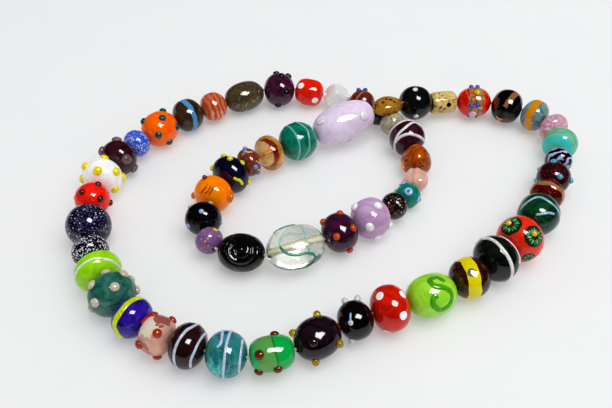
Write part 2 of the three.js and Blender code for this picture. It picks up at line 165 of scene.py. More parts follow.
def string_beads(passes=3, halvings=26):
    """The turns of the thread between beads, and each bead's axis and centre."""
    heights = string_heights()
    curve = smooth_loop(ROUTE)
    count = len(ORDER)
    before = after = [BEAD_GAP / 2] * count
    for _ in range(passes):
        chords = []
        for i, name in enumerate(ORDER):
            reach = before[i] + STRAND[name][0] + after[i]
            chords.append(math.sqrt(reach ** 2 - (heights[(i + 1) % count] - heights[i]) ** 2))
        small, large = 0.8, 1.25
        for _ in range(halvings):
            scale = (small + large) / 2
            places, rounds = walk([(x * scale, y * scale) for x, y in curve], chords)
            small, large = (scale, large) if rounds > 1 else (small, scale)
        pivots = [Vector((x, y, heights[i])) for i, (x, y) in enumerate(places)]
        axes = [(pivots[(i + 1) % count] - pivots[i]).normalized() for i in range(count)]
        bends = [axes[i].angle(axes[i - 1]) for i in range(count)]
        before = [shoulder_gap(name, bends[i]) for i, name in enumerate(ORDER)]
        after = [shoulder_gap(name, bends[(i + 1) % count]) for i, name in enumerate(ORDER)]
    centres = [pivots[i] + axes[i] * (before[i] + STRAND[ORDER[i]][0] / 2) for i in range(count)]
    return pivots, axes, centres


# The lay has its own origin, so one bead of the frame says where on the table it goes.
PIVOTS, AXES, CENTRES = string_beads()
low, high = (Vector(corner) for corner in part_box("brown_white_trails"))
SHIFT = (low + high) / 2 - CENTRES[ORDER.index("brown_white_trails")] * MM
TO_TABLE = Matrix.Translation(SHIFT) @ Matrix.Scale(MM, 4)


def wire(tree, kind, inputs=None, **settings):
    """A node with its settings, and its inputs given as values or as other sockets."""
    made = tree.nodes.new(kind)
    for key, value in settings.items():
        setattr(made, key, value)
    for key, value in (inputs or {}).items():
        if isinstance(value, bpy.types.NodeSocket):
            tree.links.new(value, made.inputs[key])
        else:
            made.inputs[key].default_value = value
    return made


def mixed(tree, mask, under, over):
    """One colour over another, as far as the mask says."""
    return wire(tree, "ShaderNodeMix", {0: mask, 6: under, 7: over}, data_type="RGBA").outputs[2]


def shade(tint):
    """A colour as the shader wants it, from its two-digit red, green and blue."""
    parts = [int(tint[k:k + 2], 16) / 255 for k in (0, 2, 4)]
    return [p / 12.92 if p < 0.04045 else ((p + 0.055) / 1.055) ** 2.4 for p in parts] + [1.0]


def new_material(name):
    """A material with its node tree and its Principled shader."""
    made = bpy.data.materials.new(name)
    made.use_nodes = True
    return made, made.node_tree, made.node_tree.nodes["Principled BSDF"]


def placed(name, data):
    """A new object in the scene."""
    thing = bpy.data.objects.new(name, data)
    bpy.context.scene.collection.objects.link(thing)
    return thing


def mesh_of(curve):
    """A round curve's mesh."""
    rod = placed("rod", curve)
    made = bpy.data.meshes.new_from_object(rod)
    bpy.data.objects.remove(rod)
    return made


course = bpy.data.curves.new("thread", "CURVE")
course.dimensions = "3D"
course.bevel_depth = THREAD_WIDE / 2
course.bevel_resolution = 3
spline = course.splines.new("POLY")
spline.points.add(len(PIVOTS) * 3 - 1)
for i, pivot in enumerate(PIVOTS):
    eased = pivot + (AXES[i] - AXES[i - 1]) * THREAD_EASE
    leads = (pivot - AXES[i - 1] * THREAD_LEAD, eased, pivot + AXES[i] * THREAD_LEAD)
    for j, point in enumerate(leads):
        spline.points[3 * i + j].co = (*point, 1)
spline.use_cyclic_u = True
mesh = mesh_of(course)
mesh.transform(TO_TABLE)
mesh.shade_smooth()
twine, tree, shader = new_material("thread")
coords = wire(tree, "ShaderNodeTexCoord").outputs["Object"]
twist = {"Vector": coords, "Scale": 900.0, "Distortion": 1.5}
ply = wire(tree, "ShaderNodeTexWave", twist, bands_direction="DIAGONAL").outputs["Fac"]
tree.links.new(mixed(tree, ply, shade("c9bb98"), shade("efe6d0")), shader.inputs["Base Color"])
lay = wire(tree, "ShaderNodeBump", {"Height": ply, "Distance": 0.1 * MM})
tree.links.new(lay.outputs[0], shader.inputs["Normal"])
shader.inputs["Roughness"].default_value = 0.7
mesh.materials.append(twine)
thread = placed("thread", mesh)
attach(thread, "root")
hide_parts("string_outer", "string_inner")


# The dotted beads: molten glass is wound on a steel rod, whose place the bore keeps, and
# rolled round. Drops of another glass are then set on it, and stay raised or are melted
# nearly flush.
BORE = 2.2
RIM = 0.3  # how much wider than the bore the glass is where its round outline starts
DENT = 0.15  # how deep the slow unevenness of a handmade bead is
DENT_SIZE = 6
MAIN_NODES = set(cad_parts)
INNER_SMALL = (
    "pale_pink_ribbed", "emerald_eyes", "dark_confetti", "mauve_confetti", "maroon_gold_small",
)
GLASS_IOR = 1.52
SOFT_EDGE = 0.12  # how far one glass has bled into the next


# The marks that are melted into a bead are shared effects: swirls, bands, spots and specks,
# and the skin of fire-polished glass. They read "place", a bead's own millimetres.
def effect(name, inputs, outputs):
    """An empty shared effect, with its two ends."""
    tree = bpy.data.node_groups.new(name, "ShaderNodeTree")
    kinds = {"v": "NodeSocketVector", "f": "NodeSocketFloat"}
    for label, kind in inputs:
        tree.interface.new_socket(label, in_out="INPUT", socket_type=kinds[kind])
    for label in outputs:
        tree.interface.new_socket(label, in_out="OUTPUT", socket_type=kinds["f"])
    return tree, tree.nodes.new("NodeGroupInput").outputs, tree.nodes.new("NodeGroupOutput").inputs


def maths(tree, operation, *values):
    """One step of arithmetic on values or sockets."""
    return wire(tree, "ShaderNodeMath", dict(enumerate(values)), operation=operation).outputs[0]


def soft_step(tree, value, edge, width):
    """1 where the value is under the edge, 0 above it, soft over the width."""
    low_edge = maths(tree, "SUBTRACT", edge, width)
    high_edge = maths(tree, "ADD", edge, width)
    ends = {"Value": value, "From Min": low_edge, "From Max": high_edge, "To Min": 1.0, "To Max": 0.0}
    return wire(tree, "ShaderNodeMapRange", ends, interpolation_type="SMOOTHSTEP").outputs[0]


def clouds(tree, place, scale, detail=2.0, distortion=0.0):
    """Cloudy noise round a half."""
    sizes = {"Vector": place, "Scale": scale, "Detail": detail, "Distortion": distortion}
    return wire(tree, "ShaderNodeTexNoise", sizes).outputs[0]


def wandering(tree, start, scale):
    """How far a point lies along the mark's facing, with a slow drift added."""
    ways = {0: start["Place"], 1: start["Facing"]}
    along = wire(tree, "ShaderNodeVectorMath", ways, operation="DOT_PRODUCT").outputs["Value"]
    drift = maths(tree, "SUBTRACT", clouds(tree, start["Place"], scale, 1.0), 0.5)
    drift = maths(tree, "MULTIPLY", drift, maths(tree, "MULTIPLY", start["Wander"], 5.0))
    return maths(tree, "ADD", along, drift)


sizes = [("Place", "v"), ("Size", "f"), ("Amount", "f"), ("Soft", "f")]
tree, start, end = effect("glass_swirl", sizes, ["Mask"])
cloudy = clouds(tree, start["Place"], maths(tree, "DIVIDE", 1.0, start["Size"]), 3.0, 1.6)
level = maths(tree, "SUBTRACT", 1.0, start["Amount"])
bare = soft_step(tree, cloudy, level, start["Soft"])
tree.links.new(maths(tree, "SUBTRACT", 1.0, bare), end["Mask"])

sizes = [("Place", "v"), ("Facing", "v"), ("Offset", "f"), ("Half Width", "f"), ("Wander", "f")]
tree, start, end = effect("glass_band", sizes, ["Mask"])
gap = maths(tree, "SUBTRACT", wandering(tree, start, 0.28), start["Offset"])
gap = maths(tree, "ABSOLUTE", gap)
tree.links.new(soft_step(tree, gap, start["Half Width"], SOFT_EDGE), end["Mask"])

sizes = [("Place", "v"), ("Centre", "v"), ("Radius", "f"), ("Ragged", "f")]
tree, start, end = effect("glass_spot", sizes, ["Mask"])
ways = {0: start["Place"], 1: start["Centre"]}
away = wire(tree, "ShaderNodeVectorMath", ways, operation="DISTANCE").outputs["Value"]
ragged = maths(tree, "SUBTRACT", clouds(tree, start["Place"], 0.5), 0.5)
away = maths(tree, "ADD", away, maths(tree, "MULTIPLY", ragged, start["Ragged"]))
tree.links.new(soft_step(tree, away, start["Radius"], SOFT_EDGE), end["Mask"])

sizes = [("Place", "v"), ("Cell", "f"), ("Size", "f"), ("Share", "f")]
tree, start, end = effect("glass_specks", sizes, ["Mask"])
scale = maths(tree, "DIVIDE", 1.0, start["Cell"])
cells = wire(tree, "ShaderNodeTexVoronoi", {"Vector": start["Place"], "Scale": scale}).outputs
away = maths(tree, "MULTIPLY", cells["Distance"], start["Cell"])
pick = wire(tree, "ShaderNodeSeparateColor", {0: cells["Color"]}).outputs[0]
round_speck = soft_step(tree, away, start["Size"], 0.08)
picked = soft_step(tree, pick, start["Share"], 0.01)
tree.links.new(maths(tree, "MULTIPLY", round_speck, picked), end["Mask"])

tree, start, end = effect("glass_skin", [("Place", "v")], ["Height", "Dull"])
lumps = clouds(tree, start["Place"], 0.22, 1.0)
pits = clouds(tree, start["Place"], 3.0)
tree.links.new(maths(tree, "ADD", lumps, maths(tree, "MULTIPLY", pits, 0.004)), end["Height"])
spread = {"Value": pits, "From Min": 0.35, "From Max": 0.75, "To Min": 0.05, "To Max": 0.13}
tree.links.new(wire(tree, "ShaderNodeMapRange", spread).outputs[0], end["Dull"])


def surface(name, along, around):
    """A place on a bead as a point in its own mm, and the way out of the glass there.

    A place is a share of the half length, along the thread, and the degrees round from the
    top of the bead towards the outside of the loop.
    """
    length, across, thick, form = STRAND[name]
    half, radius, flat = length / 2, across / 2, thick / across
    reach = (1 - abs(along) ** form) ** (1 / form)
    turn = math.radians(around)
    out = reach ** (form - 1) / radius
    tip = math.copysign(abs(along) ** (form - 1), along) / half
    point = Vector((along * half, radius * reach * math.sin(turn), radius * reach * math.cos(turn) * flat))
    return point, Vector((tip, out * math.sin(turn), out * math.cos(turn) / flat)).normalized()


# A mark is its effect, its tone, how metallic it is, and its sizes on a bead.
def swirl(tint, size, amount, metal=0.0):
    return "glass_swirl", tint, metal, lambda bead: {"Size": size, "Amount": amount, "Soft": 0.06}


def ring(tint, along, half, wander=0.2, metal=0.0):
    def sizes(bead):
        offset = along * STRAND[bead][0] / 2
        return {"Facing": (1, 0, 0), "Offset": offset, "Half Width": half, "Wander": wander}
    return "glass_band", tint, metal, sizes


def band(tint, places, half, wander=0.2, metal=0.0):
    def sizes(bead):
        a, b, c = (surface(bead, *place)[0] for place in places)
        facing = (b - a).cross(c - a).normalized()
        return {"Facing": facing, "Offset": facing.dot(a), "Half Width": half, "Wander": wander}
    return "glass_band", tint, metal, sizes


def spot(tint, along, around, radius, metal=0.0, ragged=0.6):
    def sizes(bead):
        return {"Centre": surface(bead, along, around)[0], "Radius": radius, "Ragged": ragged}
    return "glass_spot", tint, metal, sizes


def specks(tint, cell, size, share=1.0, metal=0.0):
    return "glass_specks", tint, metal, lambda bead: {"Cell": cell, "Size": size, "Share": share}


def glass(name, bead, light, deep, clear=0.0, marks=(), size=5.0, frosted=0.0, on_bead=True):
    """A fire-polished glass: a light tone swirled into a deep one, with marks melted in."""
    made, tree, shader = new_material(name)
    if on_bead:
        place = wire(tree, "ShaderNodeAttribute", attribute_name="place").outputs["Vector"]
    else:
        coords = wire(tree, "ShaderNodeTexCoord").outputs["Object"]
        millimetres = {"Vector": coords, "Scale": (1000, 1000, 1000)}
        place = wire(tree, "ShaderNodeMapping", millimetres).outputs[0]

    def put(group, sizes):
        effect_tree = bpy.data.node_groups[group]
        return wire(tree, "ShaderNodeGroup", {"Place": place, **sizes}, node_tree=effect_tree).outputs

    swirled = put("glass_swirl", {"Size": size, "Amount": 0.5, "Soft": 0.22})["Mask"]
    tone = mixed(tree, swirled, shade(light), shade(deep))
    metal = None
    for group, tint, shine, sizes in marks:
        mask = put(group, sizes(bead))["Mask"]
        tone = mixed(tree, mask, tone, shade(tint))
        if shine:
            gleam = maths(tree, "MULTIPLY", mask, shine)
            metal = maths(tree, "MAXIMUM", metal, gleam) if metal else gleam
    skin = put("glass_skin", {})
    bump = wire(tree, "ShaderNodeBump", {"Height": skin["Height"], "Strength": 1.0, "Distance": 0.25 * MM})
    tree.links.new(bump.outputs[0], shader.inputs["Normal"])
    tree.links.new(tone, shader.inputs["Base Color"])
    rough = maths(tree, "ADD", skin["Dull"], frosted) if frosted else skin["Dull"]
    tree.links.new(rough, shader.inputs["Roughness"])
    if metal:
        tree.links.new(metal, shader.inputs["Metallic"])
    shader.inputs["IOR"].default_value = GLASS_IOR
    shader.inputs["Transmission Weight"].default_value = clear
    return made


def darker(tint):
    """The same tone with 84 hundredths of its light."""
    return "".join(f"{int(int(tint[k:k + 2], 16) * 0.84):02x}" for k in (0, 2, 4))


def drop_glass(bead, label, tint, clear=0.0):
    """The glass of drops, whose swirl is small."""
    return glass(bead + "_" + label, bead, tint, darker(tint), clear, size=1.2)


def seat(name):
    """From a bead's own frame in mm (X along the thread, Y outwards, Z up) to its place."""
    i = ORDER.index(name)
    left = Vector((0, 0, 1)).cross(AXES[i]).normalized()
    turn = Matrix((AXES[i], left, AXES[i].cross(left))).transposed().to_4x4()
    return TO_TABLE @ Matrix.Translation(CENTRES[i]) @ turn


def shown(mesh, bead, piece, finish, crease=50):
    """A finished mesh as a piece. Edges sharper than the crease, in degrees, stay sharp."""
    mesh.shade_smooth()
    mesh.set_sharp_from_angle(angle=math.radians(crease))
    mesh.materials.append(finish)
    thing = placed(piece, mesh)
    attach(thing, "root")
    if bead in MAIN_NODES:
        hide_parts(bead)
    else:
        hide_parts("string_inner" if bead in INNER_SMALL else "string_outer")


def settled(bm, bead, piece, finish, crease=50):
    """The finished shape in its place on the thread, keeping its own mm as "place"."""
    bmesh.ops.recalc_face_normals(bm, faces=bm.faces)
    own = [value for vert in bm.verts for value in vert.co]
    bm.transform(seat(bead))
    mesh = bpy.data.meshes.new(piece)
    bm.to_mesh(mesh)
    bm.free()
    mesh.attributes.new("place", "FLOAT_VECTOR", "POINT").data.foreach_set("vector", own)
    shown(mesh, bead, piece, finish, crease)


def turned(bead, slot, light, deep, clear=0.0, marks=(), frosted=0.0, carve=None, sides=48, steps=24):
    """A bead's body of one glass, spun round its bore, and then carved or pressed."""
    length, across, thick, form = STRAND[bead]
    profile = [(-length / 2, BORE / 2)]
    for k in range(1, steps):
        turn = math.pi * k / steps
        share = math.copysign(abs(math.cos(turn)) ** (2 / form), -math.cos(turn))
        radius = across / 2 * math.sin(turn) ** (2 / form)
        if radius > BORE / 2 + RIM:
            profile.append((length / 2 * share, radius))
    profile.append((length / 2, BORE / 2))
    bm = bmesh.new()
    verts = [bm.verts.new((x, 0, radius)) for x, radius in profile]
    edges = [bm.edges.new((verts[k], verts[k - 1])) for k in range(len(verts))]
    bmesh.ops.spin(
        bm, geom=verts + edges, cent=(0, 0, 0), axis=(1, 0, 0), angle=2 * math.pi, steps=sides,
        use_merge=True,
    )
    bmesh.ops.remove_doubles(bm, verts=bm.verts, dist=0.001)
    bmesh.ops.scale(bm, vec=(1, 1, thick / across), verts=bm.verts)
    own_noise = Vector((ORDER.index(bead) * 7.3, 0, 0))
    for vert in bm.verts:
        out = math.hypot(vert.co.y, vert.co.z)
        if out > BORE / 2 + 0.1:
            if carve:
                vert.co = carve(vert.co)
            dent = 1 + DENT * noise.noise(vert.co / DENT_SIZE + own_noise) / out
            vert.co = Vector((vert.co.x, vert.co.y * dent, vert.co.z * dent))
    finish = glass(bead, bead, light, deep, clear, marks, frosted=frosted)
    settled(bm, bead, bead + "_bead", finish)


def standing(bead, along, around):
    """The frame of what stands at a place on a bead, with Z out of the glass."""
    point, out = surface(bead, along, around)
    side = out.orthogonal().normalized()
    return Matrix.Translation(point) @ Matrix((side, out.cross(side), out)).transposed().to_4x4()


def dots(bead, label, slot, tint, wide, rise, places, clear=0.0):
    """Drops of glass on a bead, each a dome that is sunk in as deep as it stands out."""
    bm = bmesh.new()
    for place in places:
        matrix = standing(bead, *place) @ Matrix.Diagonal((wide / 2, wide / 2, rise, 1))
        bmesh.ops.create_uvsphere(bm, u_segments=14, v_segments=8, radius=1, matrix=matrix)
    settled(bm, bead, bead + "_" + label, drop_glass(bead, label, tint, clear), 80)


# A row holds the slot, the two tones, how clear the glass is, its marks, and each colour of
# drops: slot, tone, width, rise, places, and how clear it is where it is clear.
FINE, SMALL, LARGE = 2.2, 2.8, 3.8
MELTED, PROUD, TALL = 0.5, 1.0, 1.6
DOTTED = {
    "lilac_oval": ("lilac", "ecdcf0", "dcc8e2", 0, (), [
        ("lilac", "f6eefa", LARGE, MELTED, [(-0.72, 0), (0.54, -50), (0, -125), (-0.1, 60)])]),
    "black_white_dots": ("black", "181a19", "0b0c0b", 0, (), [
        ("white", "f6f4f0", 2.1, MELTED, [(-0.46, -1), (-0.31, -112), (0.3, 90)])]),
    "red_gilded": ("red", "b07a50", "844e2c", 0, (
        swirl("e0b48c", 2.2, 0.42, 0.3), ring("dc1a08", -0.85, 3.7, 0.3), ring("dc1a08", 0.9, 3.0, 0.3)), [
        ("amber", "eec41c", 2.6, PROUD, [(0.12, -14)]),
        ("violet", "3c5cc4", 2.0, PROUD, [(-0.19, -69), (0.17, -66), (-0.22, 35), (0.14, 36)]),
        ("rose", "ecc4d4", 3.4, PROUD, [(-0.05, -107)]),
        ("black", "1c1410", 1.2, 0.8, [(-0.24, -120), (0.16, -120)])]),
    "maroon_turquoise_dots": ("maroon", "46161c", "240a0e", 0, (specks("c88c6c", 0.7, 0.14, 0.4, 0.5),), [
        ("turquoise", "66b8d4", FINE, PROUD,
         [(-0.4, -18), (0.62, 23), (0.55, -98), (-0.05, 82), (-0.5, -95)])]),
    "black_white_comma": ("black", "110d0f", "060506", 0, (), [
        ("white", "eceff4", FINE, TALL, [(-0.5, -50), (0.15, -60), (0.6, 120)], 0.2),
        ("lilac", "d0dcf4", 1.7, MELTED, [(0.52, 34)])]),
    "black_amber_dots": ("black", "2a1822", "10080d", 0, (
        ring("7c2c1c", -0.95, 1.1, 0.3), swirl("34182c", 3.4, 0.36)), [
        ("amber", "dcc01c", 2.5, 1.5, [(-0.35, -45), (0.75, -75), (-0.55, 82), (0.5, 120)], 0.6),
        ("brown", "2a1c14", SMALL, PROUD, [(0.48, 35)])]),
    "green_amber_dots": ("green", "58b060", "74a052", 0.15, (
        ring("12b252", -0.62, 3.3, 0.25), ring("2c6a34", -0.1, 0.18, 0.25),
        ring("3cb468", 0.9, 1.6, 0.5)), [
        ("amber", "7e3c0e", SMALL, PROUD,
         [(-0.24, -55), (0.62, 30), (0.7, 115), (-0.12, 94), (0.3, -115)], 0.3)]),
    "rose_orange_dots": ("rose", "ecc4b0", "dca694", 0.35, (
        spot("fbf0dc", 0.2, 12, 3.4, 0, 6.0), spot("b0685e", -0.3, -30, 2.9, 0, 5.0),
        spot("b0685e", 0.2, 85, 2.8, 0, 5.0), spot("b0685e", 0.1, -130, 3.0, 0, 5.0)), [
        ("orange", "cc4414", SMALL, PROUD,
         [(-0.55, 22), (0.55, 80), (-0.5, 130), (-0.45, -72), (0.6, -35), (0.1, -120)], 0.3)]),
    "sea_green_cream_dots": ("green", "468a7a", "245c52", 0.2, (swirl("1e4e46", 2.4, 0.36),), [
        ("white", "d8c8b4", 3.0, PROUD,
         [(0.68, -10), (0.1, -45), (0.3, -90), (0.4, 38), (-0.55, -5), (-0.42, -97), (-0.42, 62),
          (0.15, 110)])]),
    "red_brown_dots": ("red", "ff2c1a", "e41a10", 0, (), [
        ("brown", "6a3414", 2.5, PROUD,
         [(0.34, -28), (-0.36, 23), (-0.6, -52), (-0.03, -108), (0.3, 95)], 0.4)]),
    "white_yellow_dots": ("white", "fefefc", "f4f2ee", 0, (), [
        ("amber", "fff20a", 3.2, 1.1,
         [(0.62, -3), (-0.2, 45), (-0.58, -10), (-0.03, -58), (-0.5, 90), (0.4, -98),
          (-0.55, -110), (0.4, 90)])]),
    "plum_mauve_dots": ("plum", "4e2028", "2a1018", 0.15, (), [
        ("mauve", "a68490", LARGE, 1.2,
         [(0.5, 20), (-0.4, -63), (-0.42, 68), (0.3, 115), (0.1, -120)], 0.5)]),
    "orange_teal_dots": ("orange", "ff7406", "f85e00", 0, (), [
        ("teal", "12606e", SMALL, PROUD,
         [(0.58, 22), (0.06, -21), (0.62, -76), (-0.62, -67), (-0.62, 43), (-0.1, -115)], 0.2)]),
    "purple_black_dots": ("plum", "5e2648", "341426", 0.2, (), [
        ("black", "100c10", SMALL, PROUD,
         [(-0.2, 45), (0.62, 46), (0.15, 2), (0.5, -67), (-0.1, -125), (0, 110)])]),
    "mauve_white_dots": ("mauve", "caa8cc", "b893bb", 0, (), [
        ("white", "fdfcfd", 3.2, PROUD,
         [(0.62, -44), (-0.18, 16), (0.68, 64), (-0.6, 100), (0.2, 122), (0, -90)])]),
    "plum_orange_dots": ("plum", "522046", "32122a", 0.2, (specks("9a3058", 1.3, 0.15, 0.4, 0.3),), [
        ("orange", "e8600c", 2.5, PROUD,
         [(-0.29, -25), (0.62, -64), (-0.46, 41), (0.62, 46), (-0.07, 118), (0, -115)], 0.25)]),
    "black_blue_dots": ("black", "0e0e12", "050507", 0, (specks("8a7a58", 0.9, 0.1, 0.4, 0.6),), [
        ("lilac", "a8c4f0", 1.7, 0.5,
         [(-0.33, 0), (-0.66, 80), (0.5, 50), (0.62, -33), (-0.1, 125), (-0.3, -95)])]),
    "navy_yellow_dots": ("navy", "141434", "090a1c", 0, (), [
        ("lime", "eae414", 2.2, 0.9,
         [(0.1, 0), (0.37, 38), (0.6, -33), (-0.5, 75), (0.4, -105)])]),
    "amber_red_blue_dots": ("amber", "8c3a1c", "541812", 0.1, (
        swirl("6a4a9c", 3.0, 0.42, 0.4),
        band("e0a878", [(0.1, 30), (-0.1, -30), (0.3, -80)], 0.25, 0.3, 0.4)), [
        ("violet", "3450bc", 2.0, PROUD, [(-0.6, 16), (-0.22, 37), (0.3, -60)])]),
    "emerald_eyes": ("green", "18a090", "0a766c", 0.2, (), [
        ("lilac", "b8d0f4", 3.0, MELTED, [(-0.49, -47), (0.55, 13), (-0.03, 85), (0.3, -90)]),
        ("violet", "3c62cc", 1.7, 0.65, [(-0.49, -47), (0.55, 13), (-0.03, 85), (0.3, -90)])]),
    "maroon_gold_small": ("maroon", "a0503c", "6a2c20", 0.2, (specks("dca070", 0.8, 0.16, 0.5, 0.4),), [
        ("lilac", "8ea6e0", 1.8, 0.8, [(0.19, 41), (-0.28, 7), (0.6, -78), (-0.14, -74), (0.32, -121)])]),
}
for bead, (slot, light, deep, clear, marks, groups) in DOTTED.items():
    turned(bead, slot, light, deep, clear, marks)
    for k, (dot_slot, tint, wide, rise, places, *see_through) in enumerate(groups):
        label = "dots" if k == 0 else f"dots_{k + 1}"
        dots(bead, label, dot_slot, tint, wide, rise, places, *see_through)


# The coral bead with petals: dark green rounds are melted flush into the coral. On each,
# short strokes of two greens are laid as petals round a yellow drop set off its middle.
ROUNDS =[(0.42, -27, 3.7), (0.14, 40, 3.7), (0.6, 98, 2.2), (-0.45, -85, 3.0)]
PETALS = 7
PETAL_OUT = 0.55  # of the round's width, as its length and breadth are
PETAL_LONG = 0.24
PETAL_DROP = 0.018  # how fast the glass falls away under a petal
PETAL_RISE = 0.3
PETAL_TILT = math.radians(14)
rounds = tuple(spot("16361e", along, around, wide) for along, around, wide in ROUNDS)
turned("coral_petals", "coral", "ee3a22", "d62c14", 0, rounds)
for label, tint, first, broad in (("petals", "2f7c34", 0.0, 0.13), ("petals_2", "8cbc7c", 0.5, 0.09)):
    bm = bmesh.new()
    for along, around, wide in ROUNDS:
        for k in range(PETALS):
            turn = Matrix.Rotation(2 * math.pi * (k + first) / PETALS, 4, "Z")
            sag = Matrix.Translation((wide * PETAL_OUT, 0, -wide * wide * PETAL_DROP))
            tip = Matrix.Rotation(PETAL_TILT, 4, "Y")
            size = Matrix.Diagonal((wide * PETAL_LONG, wide * broad, PETAL_RISE, 1))
            matrix = standing("coral_petals", along, around) @ turn @ sag @ tip @ size
            bmesh.ops.create_uvsphere(bm, u_segments=10, v_segments=6, radius=1, matrix=matrix)
    finish = drop_glass("coral_petals", label, tint)
    settled(bm, "coral_petals", "coral_petals_" + label, finish, 80)
hearts = [(along - 0.04, around - 6) for along, around, wide in ROUNDS if wide > 2.5]
dots("coral_petals", "hearts", "amber", "f4cc14", 2.0, 0.9, hearts)


# The trailed beads: dark glass with canes of a pale glass laid round them while hot. A cane
# is drawn out thin, so it tapers at its ends, and it stays raised on the bead.
CANE_TIP = 0.35
CANE_TAPER = 0.3
LAST_SHARE = 0.97  # no cane runs on into the bore
FULL_TURN = 360


def cane_path(line, steps=8):
    """Many places on a smooth way through a cane's few, and whether it closes round the bead."""
    around = line[-1][1] - line[0][1]
    closed = abs(around) == FULL_TURN
    stops = [Vector(place) for place in (line[:-1] if closed else line)]
    count = len(stops)

    def stop(k):
        if closed:
            return stops[k % count] + Vector((0, around * (k // count)))
        return stops[min(max(k, 0), count - 1)]

    path = []
    for k in range(count if closed else count - 1):
        four = [stop(k + j) for j in NEIGHBOURS]
        path += [curve_point(*four, step / steps) for step in range(steps)]
    if not closed:
        path.append(stops[-1])
    return path, closed


def trails(bead, label, slot, tint, width, lines, sink):
    """Thin canes of glass laid along places on a bead, a share of their width sunk in."""
    piece = bead + "_" + label
    cane = bpy.data.curves.new(piece, "CURVE")
    cane.dimensions = "3D"
    cane.bevel_depth = width / 2
    cane.bevel_resolution = 2
    cane.use_fill_caps = True
    on_table = width / 2 - STRAND[bead][2] / 2
    for line in lines:
        path, closed = cane_path(line)
        spline = cane.splines.new("POLY")
        spline.points.add(len(path) - 1)
        for k, (along, around) in enumerate(path):
            point, out = surface(bead, max(-LAST_SHARE, min(LAST_SHARE, along)), around)
            point -= out * width * sink
            point.z = max(point.z, on_table)
            spline.points[k].co = (*point, 1)
            if not closed:
                from_end = min(k, len(path) - 1 - k)
                spline.points[k].radius = min(1, CANE_TIP + CANE_TAPER * from_end)
        spline.use_cyclic_u = closed
    mesh = mesh_of(cane)
    mesh.transform(seat(bead))
    mesh.name = piece
    finish = glass(piece, bead, tint, darker(tint), size=2.0, on_bead=False)
    shown(mesh, bead, piece, finish, 80)


sizes = [("Place", "v"), ("Facing", "v"), ("Spacing", "f"), ("Share", "f"), ("Wander", "f")]
tree, start, end = effect("glass_stripes", sizes, ["Mask"])
turns = maths(tree, "FRACT", maths(tree, "DIVIDE", wandering(tree, start, 0.3), start["Spacing"]))
gap = maths(tree, "ABSOLUTE", maths(tree, "SUBTRACT", turns, 0.5))
half_share = maths(tree, "MULTIPLY", start["Share"], 0.5)
tree.links.new(soft_step(tree, gap, half_share, 0.05), end["Mask"])


def stripes(tint, facing, spacing, share, wander=0.5, metal=0.0):
    """A mark of stripes, each a share of their spacing wide."""
    def sizes(bead):
        way = Vector(facing).normalized()
        return {"Facing": way, "Spacing": spacing, "Share": share, "Wander": wander}
    return "glass_stripes", tint, metal, sizes


